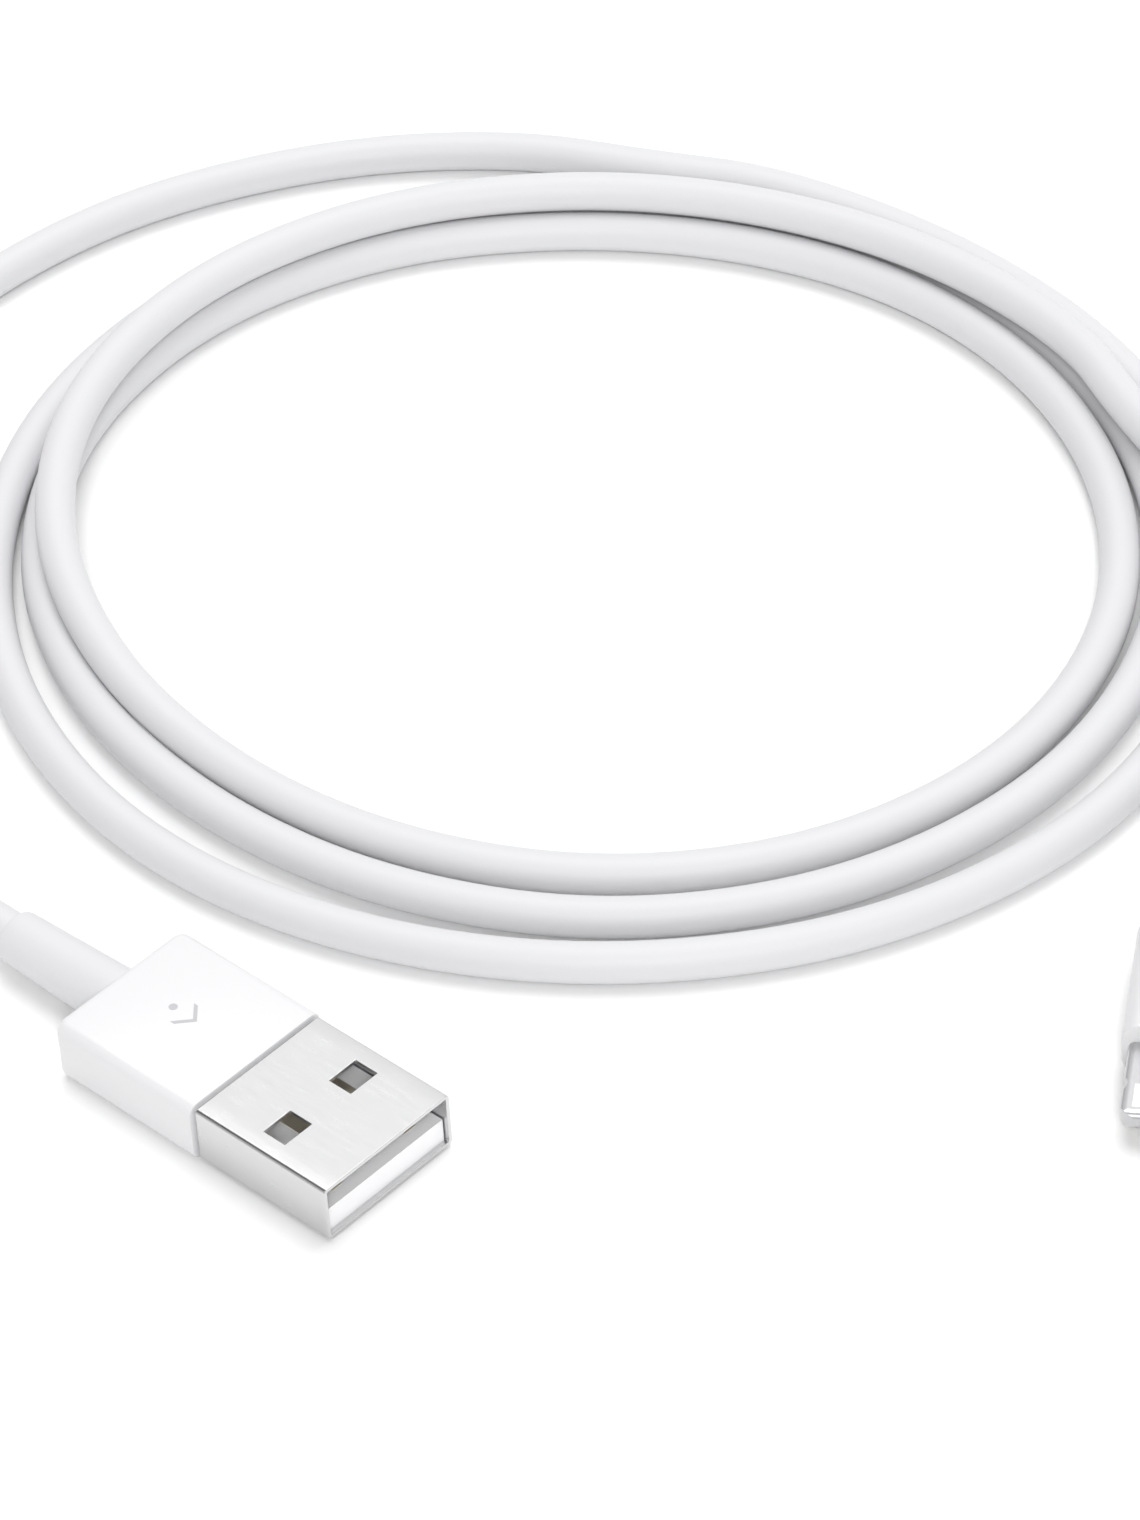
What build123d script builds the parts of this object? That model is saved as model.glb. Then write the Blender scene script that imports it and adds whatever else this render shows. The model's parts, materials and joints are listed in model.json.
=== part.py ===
from build123d import *
import math
import os

# Charging cable: a type-A plug, a round cable wound in a flat coil, and a slim reversible plug
# for a phone. Millimetres. The table is z = 0. The type-A plug lies along X with its mouth at
# +X, and the origin is under the middle of that plug.

# ---------------------------------------------------------------- driving sizes
CABLE_RADIUS = 1.5
JACKET_BORE_RADIUS = 1.15
JACKET_SECTION = math.pi * CABLE_RADIUS ** 2

# type-A plug
SHELL_WIDTH = 12.0
SHELL_HEIGHT = 4.5
SHELL_WALL = 0.3
SHELL_EXPOSED = 12.0
SHELL_CORNER = 0.35
NECK_WIDTH = 11.4
NECK_HEIGHT = 3.9
NECK_LENGTH = 6.9
SEAM_WIDTH = 0.08
SEAM_DEPTH = 0.12
WINDOW_LENGTH = 2.0
WINDOW_WIDTH = 2.55
WINDOW_SIDE = 3.15                    # window centre to the plug's middle
WINDOW_SETBACK = 6.1                  # window centre to the mouth
USB_HOUSING_LENGTH = 13.4
USB_HOUSING_WIDTH = 12.6
USB_HOUSING_HEIGHT = 4.9
USB_HOUSING_CORNER = 0.9
USB_REAR_CORNER = 0.8
USB_REAR_ROUNDING = 0.6
USB_REAR_WALL = 0.8
USB_RELIEF_LENGTH = 10.2
USB_RELIEF_ROOT_RADIUS = 2.25
USB_RELIEF_END_RADIUS = 1.95
USB_FLANGE = (0.8, 7.0, 3.6)          # length, width and height of the flange inside
TONGUE_WIDTH = 11.2
TONGUE_THICKNESS = 1.9
TONGUE_SETBACK = 0.4
CAVITY_DEPTH = 11.0
BLOCK_LENGTH = 3.8
CONTACT_WIDTH = 1.0
CONTACT_THICKNESS = 0.25
CONTACT_PROUD = 0.05
POWER_CONTACT_SETBACK = 1.4
DATA_CONTACT_SETBACK = 2.4
TAIL_LENGTH = 2.6
POWER_SIDE = 3.5                      # power and ground contacts, from the plug's middle
DATA_SIDE = 1.0
USB_CAN_WIDTH = 10.8
USB_CAN_HEIGHT = 3.7
USB_CAN_LENGTH = 3.9
USB_CAN_CORNER = 0.7
USB_CORE_FRONT = 2.2
USB_CORE_REAR = 0.2

# phone plug, drawn along its own X with its tip at x = 0
TAB_LENGTH = 7.0
TAB_WIDTH = 6.7
TAB_THICKNESS = 1.5
TAB_TIP_CORNER = 1.3
TAB_EDGE_ROUNDING = 0.55
FRAME_REAR = -9.2
DETENT_PLACE = -3.1
DETENT_RADIUS = 0.7
DETENT_DEPTH = 0.35
PLATE_FRONT = -0.8
PLATE_LENGTH = 2.2
PLATE_WIDTH = 5.0
PLATE_TAIL_HEIGHT = 0.9
PAD_COUNT = 8
PAD_PITCH = 0.6
PAD_WIDTH = 0.4
PAD_LENGTH = 1.5
PAD_PROUD = 0.02
BOARD_FRONT = -1.1
BOARD_LENGTH = 12.3
BOARD_WIDTH = 4.6
BOARD_THICKNESS = 0.5
PHONE_HOUSING_LENGTH = 12.0
PHONE_HOUSING_WIDTH = 7.7
PHONE_HOUSING_HEIGHT = 4.5
PHONE_HOUSING_CORNER = 1.4
PHONE_REAR_CORNER = 1.6
PHONE_REAR_ROUNDING = 0.8
PHONE_CAN_FRONT = -8.4
PHONE_CAN_REAR = -16.4
PHONE_CAN_WIDTH = 7.1
PHONE_CAN_HEIGHT = 3.7
PHONE_CAN_CORNER = 0.9
PHONE_REAR_WALL = 1.0
PHONE_RELIEF_LENGTH = 8.0
PHONE_RELIEF_ROOT_RADIUS = 1.95
PHONE_RELIEF_END_RADIUS = 1.8
PHONE_FLANGE = (0.6, 5.4, 3.0)
PHONE_CORE_FRONT = -12.2
PHONE_CORE_REAR = -13.6
PHONE_WIRE_SIDE = 1.2
PHONE_SOLDER_SIZE = (1.0, 0.8, 0.55)
CONTROLLER_SIZE = (1.7, 3.0, 0.6)     # along the plug, across it, high
POWER_CHIP_SIZE = (1.7, 2.4, 0.5)
CHIP_MIDDLE = -10.4
CAPACITOR_COUNT = 6
CAPACITOR_PITCH = 0.7
CAPACITOR_SIZE = (0.4, 0.3, 0.3)
CAPACITOR_MIDDLE = -11.7
PHONE_TIP_PLACE = (55.0, 36.0)
PHONE_TURN = 303.0                    # way the phone plug points, degrees from +X

# wires, crimps and shields
POWER_WIRE_RADIUS = 0.4
DATA_WIRE_RADIUS = 0.36
WIRE_PLACE = 0.42                     # each wire's distance from the cable's middle, both ways
CORE_RADIUS = 0.2
SOLDER_SIZE = (1.2, 0.8, 0.55)
SOLDER_FILM = 0.06                    # solder under each core
CRIMP_LENGTH = 1.0
CRIMP_OUTER_RADIUS = 1.9
BRAID_OUTER_RADIUS = 1.6
BRAID_OVERLAP = 0.4
CAN_WALL = 0.2
JACKET_LAP = 0.6                      # how far the jacket runs on past the shield's rear wall
WIRE_IN_JACKET = 3.0
USB_WIRE_LEVEL = 1.1                  # level stretch of each wire before its joint
PHONE_WIRE_LEVEL = 0.7
POWER_WIRE_BEND = 0.5                 # where each wire turns aside, past the jacket's end
DATA_WIRE_BEND = 1.3
WINDOW_CUT = 0.45                     # the window cutters reach this far each side of the face

# coil: an oval loop, with the other turns lying outside it or on it
COIL_CENTRE = (-18.0, 58.7)
LOOP_RADIUS = 38.4
LOOP_OVALNESS = 2.1
LOOP_LONG_AXIS = 9.0
FIRST_BEARING = 135.0
STATION_STEP = 45.0                   # the cable runs clockwise, one station every 45 degrees
COIL_FIRST_STATION = 0.5
COIL_LAST_STATION = 25.5
# distance outside the oval at each station: outer, middle, inner turn, then the run on top
COIL_LANES = (
    8.1, 6.0, 6.5, 9.1, 9.6, 9.0, 4.9, 2.8,
    3.2, 3.1, 3.0, 4.1, 5.1, 3.25, 1.4, -0.15,
    -1.15, 0.25, -0.3, 0.3, 0.65, 0.05, 0.0, 0.1,
    0.45, 1.95, 2.95,
)
# height of the cable's axis at each station
COIL_HEIGHTS = (
    1.5, 1.5, 1.5, 1.5, 1.5, 1.5, 1.5, 1.5,
    1.5, 1.5, 1.5, 1.5, 1.5, 1.5, 1.5, 1.5,
    1.5, 1.5, 1.5, 1.5, 1.5, 2.2, 4.4, 4.5,
    4.2, 4.2, 4.8,
)
COIL_LOW_TOP = 3.0
COIL_HIGH_TOP = 6.0
OUTER_WALL_LAST_STATION = 8.5
TOP_RUN_FIRST_STATION = 21.5
HOLE_MARGIN = 1.8                     # the ring reaches this far inside the oval
LEAD_STUB = 10.4                      # length of the run that meets each face of the coil

# where the cable leaves the coil for each plug, between the coil and the plug
USB_LEAD_BENDS = (
    (-29.0, 0.0, 2.45), (-43.0, 2.0, 1.5), (-57.5, 9.6, 1.5), (-68.5, 22.6, 1.5),
    (-74.2, 38.6, 1.5), (-75.2, 54.1, 1.5), (-72.5, 67.5, 1.5), (-64.7, 81.0, 1.5),
    (-54.2, 90.6, 1.5),
)
PHONE_LEAD_BENDS = (
    (16.6, 87.8, 4.6), (24.8, 82.3, 4.7), (31.6, 74.8, 4.6),
)
PHONE_LAST_RUN = 9.2

# ---------------------------------------------------------------- places worked out from those
USB_MID = USB_HOUSING_HEIGHT / 2
USB_TIP = (SHELL_EXPOSED + USB_HOUSING_LENGTH + USB_RELIEF_LENGTH) / 2
HOUSING_FRONT = USB_TIP - SHELL_EXPOSED
HOUSING_REAR = HOUSING_FRONT - USB_HOUSING_LENGTH
USB_EXIT = HOUSING_REAR - USB_RELIEF_LENGTH
SHELL_REAR = HOUSING_FRONT - NECK_LENGTH
SHELL_SHOULDER = HOUSING_FRONT + SHELL_WALL
SHELL_FLOOR = USB_MID - SHELL_HEIGHT / 2 + SHELL_WALL
TONGUE_TOP = SHELL_FLOOR + TONGUE_THICKNESS
CONTACT_TOP = TONGUE_TOP + CONTACT_PROUD
BLOCK_FRONT = USB_TIP - CAVITY_DEPTH
BLOCK_REAR = BLOCK_FRONT - BLOCK_LENGTH
TAIL_END = BLOCK_REAR - TAIL_LENGTH
USB_CAN_REAR = SHELL_REAR - USB_CAN_LENGTH
USB_JACKET_END = USB_CAN_REAR + CAN_WALL + JACKET_LAP
USB_CORE_HEIGHT = CONTACT_TOP + SOLDER_FILM + CORE_RADIUS

PHONE_MID = PHONE_HOUSING_HEIGHT / 2
PHONE_FRONT = -TAB_LENGTH
PHONE_REAR = PHONE_FRONT - PHONE_HOUSING_LENGTH
PHONE_EXIT = PHONE_REAR - PHONE_RELIEF_LENGTH
BOARD_REAR = BOARD_FRONT - BOARD_LENGTH
BOARD_TOP = BOARD_THICKNESS / 2
PHONE_CORE_HEIGHT = BOARD_TOP + SOLDER_FILM + CORE_RADIUS
PLATE_REAR = PLATE_FRONT - PLATE_LENGTH
PAD_MIDDLE = PLATE_FRONT - PLATE_LENGTH / 2
PHONE_JACKET_END = PHONE_CAN_REAR + CAN_WALL + JACKET_LAP
PHONE_PLACE = Pos(*PHONE_TIP_PLACE, PHONE_MID) * Rot(0, 0, PHONE_TURN)


# ---------------------------------------------------------------- small building blocks
def block(x_range, y_range, z_range):
    """A box between two limits on each axis."""
    sizes = [high - low for low, high in (x_range, y_range, z_range)]
    middles = [(high + low) / 2 for low, high in (x_range, y_range, z_range)]
    return Pos(*middles) * Box(*sizes)


def bar(x_low, x_high, width, height, corner, z=0.0):
    """A bar along X with a rounded rectangular section."""
    section = Plane.YZ.offset(x_low) * Pos(0, z) * RectangleRounded(width, height, corner)
    return extrude(section, x_high - x_low)


def rod(x_low, x_high, radius, y=0.0, z=0.0):
    """A round rod along X."""
    return extrude(Plane.YZ.offset(x_low) * Pos(y, z) * Circle(radius), x_high - x_low)


def sleeve(x_low, x_high, outer, inner, z=0.0):
    """A round tube along X."""
    return rod(x_low, x_high, outer, 0, z) - rod(x_low, x_high, inner, 0, z)


def cone(x_low, x_high, radius_low, radius_high, z=0.0):
    """A round tapered bar along X."""
    return loft([
        Plane.YZ.offset(x_low) * Pos(0, z) * Circle(radius_low),
        Plane.YZ.offset(x_high) * Pos(0, z) * Circle(radius_high),
    ])


def largest_bends(points):
    """Arc radius at each corner: 0.45 of the shorter run over the tangent of half the turn."""
    corners = [Vector(*point) for point in points]
    radii = []
    for before, here, after in zip(corners, corners[1:], corners[2:]):
        turn = math.radians((here - before).get_angle(after - here))
        shorter = min((here - before).length, (after - here).length)
        radii.append(0.45 * shorter / math.tan(turn / 2))
    return radii


def bent_path(points):
    """Straight runs joined by tangent arcs."""
    return FilletPolyline(*points, radius=largest_bends(points))


def bent_rod(points, radius):
    """A round rod along straight runs joined by tangent arcs."""
    path = bent_path(points)
    start = Plane(origin=path @ 0, z_dir=path % 0)
    return sweep(start * Circle(radius), path=path)


# ---------------------------------------------------------------- type-A plug
def shell_outer():
    front = bar(HOUSING_FRONT, USB_TIP, SHELL_WIDTH, SHELL_HEIGHT, SHELL_CORNER, USB_MID)
    neck = bar(SHELL_REAR, HOUSING_FRONT, NECK_WIDTH, NECK_HEIGHT, SHELL_CORNER, USB_MID)
    return front + neck


def shell_bore():
    inner_corner = SHELL_CORNER - SHELL_WALL
    trim = 2 * SHELL_WALL
    front = bar(SHELL_SHOULDER, USB_TIP, SHELL_WIDTH - trim, SHELL_HEIGHT - trim,
                inner_corner, USB_MID)
    neck = bar(SHELL_REAR, SHELL_SHOULDER, NECK_WIDTH - trim, NECK_HEIGHT - trim,
               inner_corner, USB_MID)
    return front + neck


def window_cutters():
    """Four rectangular windows, two above and two below."""
    x_middle = USB_TIP - WINDOW_SETBACK
    x_range = (x_middle - WINDOW_LENGTH / 2, x_middle + WINDOW_LENGTH / 2)
    cutters = []
    for side in (-WINDOW_SIDE, WINDOW_SIDE):
        y_range = (side - WINDOW_WIDTH / 2, side + WINDOW_WIDTH / 2)
        for direction in (-1, 1):
            face = USB_MID + direction * SHELL_HEIGHT / 2
            z_range = (face - WINDOW_CUT, face + WINDOW_CUT)
            cutters.append(block(x_range, y_range, z_range))
    return cutters


def build_usb_shell():
    """Folded metal shell with a shouldered neck, four windows and the seam underneath."""
    shell = shell_outer() - shell_bore() - window_cutters()
    underside = USB_MID - SHELL_HEIGHT / 2
    seam = block((HOUSING_FRONT, USB_TIP), (-SEAM_WIDTH / 2, SEAM_WIDTH / 2),
                 (underside, underside + SEAM_DEPTH))
    return shell - seam


def build_usb_contact(side, setback):
    """One contact strip: blade on the tongue, then a tail behind the block."""
    return block((TAIL_END, USB_TIP - setback),
                 (side - CONTACT_WIDTH / 2, side + CONTACT_WIDTH / 2),
                 (CONTACT_TOP - CONTACT_THICKNESS, CONTACT_TOP))


def build_usb_tongue(contacts):
    """Tongue and the block behind it, filling the shell; slotted for the four contacts."""
    envelope = shell_bore()
    tongue = envelope & block((BLOCK_FRONT, USB_TIP - TONGUE_SETBACK),
                              (-TONGUE_WIDTH / 2, TONGUE_WIDTH / 2),
                              (SHELL_FLOOR, TONGUE_TOP))
    base = envelope & block((BLOCK_REAR, BLOCK_FRONT), (-SHELL_WIDTH, SHELL_WIDTH),
                            (0, USB_HOUSING_HEIGHT))
    return tongue + base - contacts


def split_can(front, rear, width, height, corner, z, upper):
    """One half of a thin metal can that is closed at the back around the braid."""
    can = bar(rear, front, width, height, corner, z)
    hollow = bar(rear + CAN_WALL, front, width - 2 * CAN_WALL, height - 2 * CAN_WALL,
                 corner - CAN_WALL, z)
    hole = rod(rear, rear + CAN_WALL, BRAID_OUTER_RADIUS, 0, z)
    z_range = (z, z + height) if upper else (z - height, z)
    half = block((rear, front), (-width, width), z_range)
    return (can - hollow - hole) & half


def build_usb_shield(upper):
    return split_can(SHELL_REAR, USB_CAN_REAR, USB_CAN_WIDTH, USB_CAN_HEIGHT,
                     USB_CAN_CORNER, USB_MID, upper)


def build_crimp_ring(can_rear, z):
    return sleeve(can_rear - CRIMP_LENGTH, can_rear, CRIMP_OUTER_RADIUS, BRAID_OUTER_RADIUS, z)


def build_braid(can_rear, z):
    """Shield braid folded back over the jacket, through the can's rear wall."""
    return sleeve(can_rear - CRIMP_LENGTH, can_rear + BRAID_OVERLAP, BRAID_OUTER_RADIUS,
                  CABLE_RADIUS, z)


def build_jacket_end(exit_x, jacket_end, z):
    """The last of the cable's jacket, inside the plug."""
    return sleeve(exit_x, jacket_end, CABLE_RADIUS, JACKET_BORE_RADIUS, z)


def build_relief(sizes, flange, z):
    """Tapered sleeve, its neck through the housing's wall, and a flange inside."""
    exit_x, housing_rear, wall_front, end_radius, root_radius = sizes
    length, width, height = flange
    sleeve_part = cone(exit_x, housing_rear, end_radius, root_radius, z)
    neck = rod(housing_rear, wall_front, root_radius, 0, z)
    inside = bar(wall_front, wall_front + length, width, height, height / 4, z)
    jacket = rod(exit_x, wall_front + length, CABLE_RADIUS, 0, z)
    return sleeve_part + neck + inside - jacket


def build_usb_relief():
    sizes = (USB_EXIT, HOUSING_REAR, HOUSING_REAR + USB_REAR_WALL, USB_RELIEF_END_RADIUS,
             USB_RELIEF_ROOT_RADIUS)
    return build_relief(sizes, USB_FLANGE, USB_MID)


def rounded_rear_block(sizes, corners, z):
    """A housing's outside: rounded along its length, at its rear corners and rear edges."""
    front, rear, width, height = sizes
    corner, rear_corner, rear_rounding = corners
    overshoot = width
    section = bar(rear, front, width, height, corner, z)
    length = front + overshoot - rear
    middle_x = (front + overshoot + rear) / 2
    plan = Pos(middle_x, 0, z - height) * extrude(
        RectangleRounded(length, width, rear_corner), 2 * height)
    side = extrude(Plane.XZ.offset(-width) * Pos(middle_x, z)
                   * RectangleRounded(length, height, rear_rounding), 2 * width)
    return section & plan & side


def usb_pocket():
    """Everything that has to fit inside the type-A plug's housing."""
    neck = bar(SHELL_REAR, HOUSING_FRONT, NECK_WIDTH, NECK_HEIGHT, SHELL_CORNER, USB_MID)
    can = bar(USB_CAN_REAR, SHELL_REAR, USB_CAN_WIDTH, USB_CAN_HEIGHT, USB_CAN_CORNER, USB_MID)
    crimp = rod(USB_CAN_REAR - CRIMP_LENGTH, USB_CAN_REAR, CRIMP_OUTER_RADIUS, 0, USB_MID)
    return neck + can + crimp


def build_usb_housing(relief):
    """Moulded housing around the shell's neck, the shield and the strain relief's flange."""
    outside = rounded_rear_block(
        (HOUSING_FRONT, HOUSING_REAR, USB_HOUSING_WIDTH, USB_HOUSING_HEIGHT),
        (USB_HOUSING_CORNER, USB_REAR_CORNER, USB_REAR_ROUNDING), USB_MID)
    jacket = rod(HOUSING_REAR, USB_CAN_REAR, CABLE_RADIUS, 0, USB_MID)
    return outside - usb_pocket() - jacket - relief


def usb_wire_points(side, target_side, height_sign, bend_start):
    """Out of the jacket, across to its contact's tail, and level onto it."""
    start_y = math.copysign(WIRE_PLACE, side)
    start_z = USB_MID + height_sign * WIRE_PLACE
    target_y = math.copysign(target_side, side)
    return (
        (USB_JACKET_END - WIRE_IN_JACKET, start_y, start_z),
        (bend_start, start_y, start_z),
        (USB_CORE_REAR - USB_WIRE_LEVEL, target_y, USB_CORE_HEIGHT),
        (USB_CORE_REAR, target_y, USB_CORE_HEIGHT),
    )


def build_usb_wires():
    outer_bend = USB_JACKET_END + POWER_WIRE_BEND
    inner_bend = USB_JACKET_END + DATA_WIRE_BEND
    plans = {
        "usb_wire_red": (1, POWER_SIDE, 1, outer_bend, POWER_WIRE_RADIUS),
        "usb_wire_black": (-1, POWER_SIDE, 1, outer_bend, POWER_WIRE_RADIUS),
        "usb_wire_white": (1, DATA_SIDE, -1, inner_bend, DATA_WIRE_RADIUS),
        "usb_wire_green": (-1, DATA_SIDE, -1, inner_bend, DATA_WIRE_RADIUS),
    }
    wires = {}
    for name, (side, target, height_sign, bend, radius) in plans.items():
        wires[name] = bent_rod(usb_wire_points(side, target, height_sign, bend), radius)
    return wires


def usb_contact_sides():
    return (POWER_SIDE, DATA_SIDE, -DATA_SIDE, -POWER_SIDE)


def build_usb_cores():
    """Bare copper at the end of each wire, lying on its contact's tail."""
    return [rod(USB_CORE_REAR, USB_CORE_FRONT, CORE_RADIUS, y, USB_CORE_HEIGHT)
            for y in usb_contact_sides()]


def build_usb_solder(cores):
    length, width, height = SOLDER_SIZE
    middle = (TAIL_END + USB_CORE_FRONT) / 2
    lumps = []
    for y, core in zip(usb_contact_sides(), cores):
        lump = block((middle - length / 2, middle + length / 2), (y - width / 2, y + width / 2),
                     (CONTACT_TOP, CONTACT_TOP + height))
        lumps.append(lump - core)
    return lumps


def build_usb_inner_mould(inside):
    """Moulding that fills the shell's neck and the shield around the wires and joints."""
    trim = 2 * SHELL_WALL
    neck = bar(SHELL_REAR, BLOCK_REAR, NECK_WIDTH - trim, NECK_HEIGHT - trim,
               SHELL_CORNER - SHELL_WALL, USB_MID)
    can = bar(USB_CAN_REAR + CAN_WALL, SHELL_REAR, USB_CAN_WIDTH - 2 * CAN_WALL,
              USB_CAN_HEIGHT - 2 * CAN_WALL, USB_CAN_CORNER - CAN_WALL, USB_MID)
    jacket = rod(USB_CAN_REAR, USB_JACKET_END, CABLE_RADIUS, 0, USB_MID)
    return neck + can - jacket - inside


def build_usb_plug():
    contacts = {
        "usb_contact_power": build_usb_contact(POWER_SIDE, POWER_CONTACT_SETBACK),
        "usb_contact_data_minus": build_usb_contact(DATA_SIDE, DATA_CONTACT_SETBACK),
        "usb_contact_data_plus": build_usb_contact(-DATA_SIDE, DATA_CONTACT_SETBACK),
        "usb_contact_ground": build_usb_contact(-POWER_SIDE, POWER_CONTACT_SETBACK),
    }
    wires = build_usb_wires()
    cores = build_usb_cores()
    solder = build_usb_solder(cores)
    braid = build_braid(USB_CAN_REAR, USB_MID)
    relief = build_usb_relief()
    inside = list(contacts.values()) + list(wires.values()) + cores + solder + [braid]
    pieces = {
        "usb_shell": build_usb_shell(),
        "usb_tongue": build_usb_tongue(list(contacts.values())),
        "usb_shield_upper": build_usb_shield(True),
        "usb_shield_lower": build_usb_shield(False),
        "usb_inner_mould": build_usb_inner_mould(inside),
        "usb_housing": build_usb_housing(relief),
        "usb_strain_relief": relief,
        "usb_crimp_ring": build_crimp_ring(USB_CAN_REAR, USB_MID),
        "usb_braid": braid,
        "usb_wire_cores": cores,
        "usb_solder_joints": solder,
        "usb_jacket_end": build_jacket_end(USB_EXIT, USB_JACKET_END, USB_MID),
    }
    pieces.update(contacts)
    pieces.update(wires)
    return pieces


# ---------------------------------------------------------------- phone plug
def build_pads(direction):
    """Eight contact pads standing on one face of the board."""
    outer = TAB_THICKNESS / 2 + PAD_PROUD
    z_range = (BOARD_TOP, outer) if direction > 0 else (-outer, -BOARD_TOP)
    x_range = (PAD_MIDDLE - PAD_LENGTH / 2, PAD_MIDDLE + PAD_LENGTH / 2)
    pads = []
    for place in range(PAD_COUNT):
        y = (place - (PAD_COUNT - 1) / 2) * PAD_PITCH
        pads.append(block(x_range, (y - PAD_WIDTH / 2, y + PAD_WIDTH / 2), z_range))
    return pads


def build_board():
    return block((BOARD_REAR, BOARD_FRONT), (-BOARD_WIDTH / 2, BOARD_WIDTH / 2),
                 (-BOARD_TOP, BOARD_TOP))


def insulator_envelope():
    """Plate in the tab's window and the flat tail that runs back through the frame."""
    plate = block((PLATE_REAR, PLATE_FRONT), (-PLATE_WIDTH / 2, PLATE_WIDTH / 2),
                  (-TAB_THICKNESS / 2, TAB_THICKNESS / 2))
    tail = block((FRAME_REAR, PLATE_REAR), (-PLATE_WIDTH / 2, PLATE_WIDTH / 2),
                 (-PLATE_TAIL_HEIGHT / 2, PLATE_TAIL_HEIGHT / 2))
    return plate + tail


def build_frame():
    """Metal frame of the tab: rounded tip, two notches for the socket's springs, a window."""
    sizes = (-FRAME_REAR, 0, TAB_WIDTH, TAB_THICKNESS)
    corners = (TAB_EDGE_ROUNDING, TAB_TIP_CORNER, TAB_EDGE_ROUNDING)
    turned = rounded_rear_block(sizes, corners, 0)
    tab = Rot(0, 0, 180) * turned
    notches = []
    for side in (-1, 1):
        y = side * (TAB_WIDTH / 2 + DETENT_RADIUS - DETENT_DEPTH)
        notches.append(Pos(DETENT_PLACE, y, 0) * Cylinder(DETENT_RADIUS, 2 * TAB_THICKNESS))
    return tab - notches - insulator_envelope()


def board_component(size, x_middle, y, direction):
    """A small flat component soldered to one face of the board."""
    length, width, height = size
    low, high = sorted((direction * BOARD_TOP, direction * (BOARD_TOP + height)))
    return block((x_middle - length / 2, x_middle + length / 2),
                 (y - width / 2, y + width / 2), (low, high))


def build_capacitors():
    """A row of small capacitors across the board's top face."""
    places = [place - (CAPACITOR_COUNT - 1) / 2 for place in range(CAPACITOR_COUNT)]
    return [board_component(CAPACITOR_SIZE, CAPACITOR_MIDDLE, place * CAPACITOR_PITCH, 1)
            for place in places]


def build_phone_shield(upper):
    """Half of the can; its front is open where the tab's frame enters."""
    return split_can(PHONE_CAN_FRONT, PHONE_CAN_REAR, PHONE_CAN_WIDTH, PHONE_CAN_HEIGHT,
                     PHONE_CAN_CORNER, 0, upper)


def phone_wire_points(side, height_sign):
    """Out of the jacket, spread to its place on the board, and level onto it."""
    start_y = side * WIRE_PLACE
    start_z = height_sign * WIRE_PLACE
    target_y = side * PHONE_WIRE_SIDE
    target_z = height_sign * PHONE_CORE_HEIGHT
    return (
        (PHONE_JACKET_END - WIRE_IN_JACKET, start_y, start_z),
        (PHONE_JACKET_END, start_y, start_z),
        (PHONE_CORE_REAR - PHONE_WIRE_LEVEL, target_y, target_z),
        (PHONE_CORE_REAR, target_y, target_z),
    )


def build_phone_wires():
    plans = {
        "phone_wire_red": (1, 1, POWER_WIRE_RADIUS),
        "phone_wire_black": (-1, 1, POWER_WIRE_RADIUS),
        "phone_wire_white": (1, -1, DATA_WIRE_RADIUS),
        "phone_wire_green": (-1, -1, DATA_WIRE_RADIUS),
    }
    return {name: bent_rod(phone_wire_points(side, sign), radius)
            for name, (side, sign, radius) in plans.items()}


def phone_joint_places():
    """Across and up to each soldered place: two above the board and two below."""
    return [(side * PHONE_WIRE_SIDE, sign) for sign in (1, -1) for side in (1, -1)]


def build_phone_cores():
    return [rod(PHONE_CORE_REAR, PHONE_CORE_FRONT, CORE_RADIUS, y, sign * PHONE_CORE_HEIGHT)
            for y, sign in phone_joint_places()]


def build_phone_solder(cores):
    x_middle = (BOARD_REAR + PHONE_CORE_FRONT) / 2
    return [board_component(PHONE_SOLDER_SIZE, x_middle, y, sign) - core
            for (y, sign), core in zip(phone_joint_places(), cores)]


def build_phone_relief():
    sizes = (PHONE_EXIT, PHONE_REAR, PHONE_REAR + PHONE_REAR_WALL, PHONE_RELIEF_END_RADIUS,
             PHONE_RELIEF_ROOT_RADIUS)
    return build_relief(sizes, PHONE_FLANGE, 0)


def phone_can_inside():
    """The room inside the can, behind the end of the tab's frame and around it."""
    return bar(PHONE_CAN_REAR + CAN_WALL, PHONE_CAN_FRONT, PHONE_CAN_WIDTH - 2 * CAN_WALL,
               PHONE_CAN_HEIGHT - 2 * CAN_WALL, PHONE_CAN_CORNER - CAN_WALL)


def tab_envelope():
    """The tab's outside where it runs back into the housing."""
    return bar(FRAME_REAR, PHONE_FRONT, TAB_WIDTH, TAB_THICKNESS, TAB_EDGE_ROUNDING)


def build_phone_inner_mould(inside):
    """Moulding that fills the can around the board, the wires and the joints."""
    jacket = rod(PHONE_CAN_REAR, PHONE_JACKET_END, CABLE_RADIUS)
    return phone_can_inside() - tab_envelope() - jacket - inside


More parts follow.
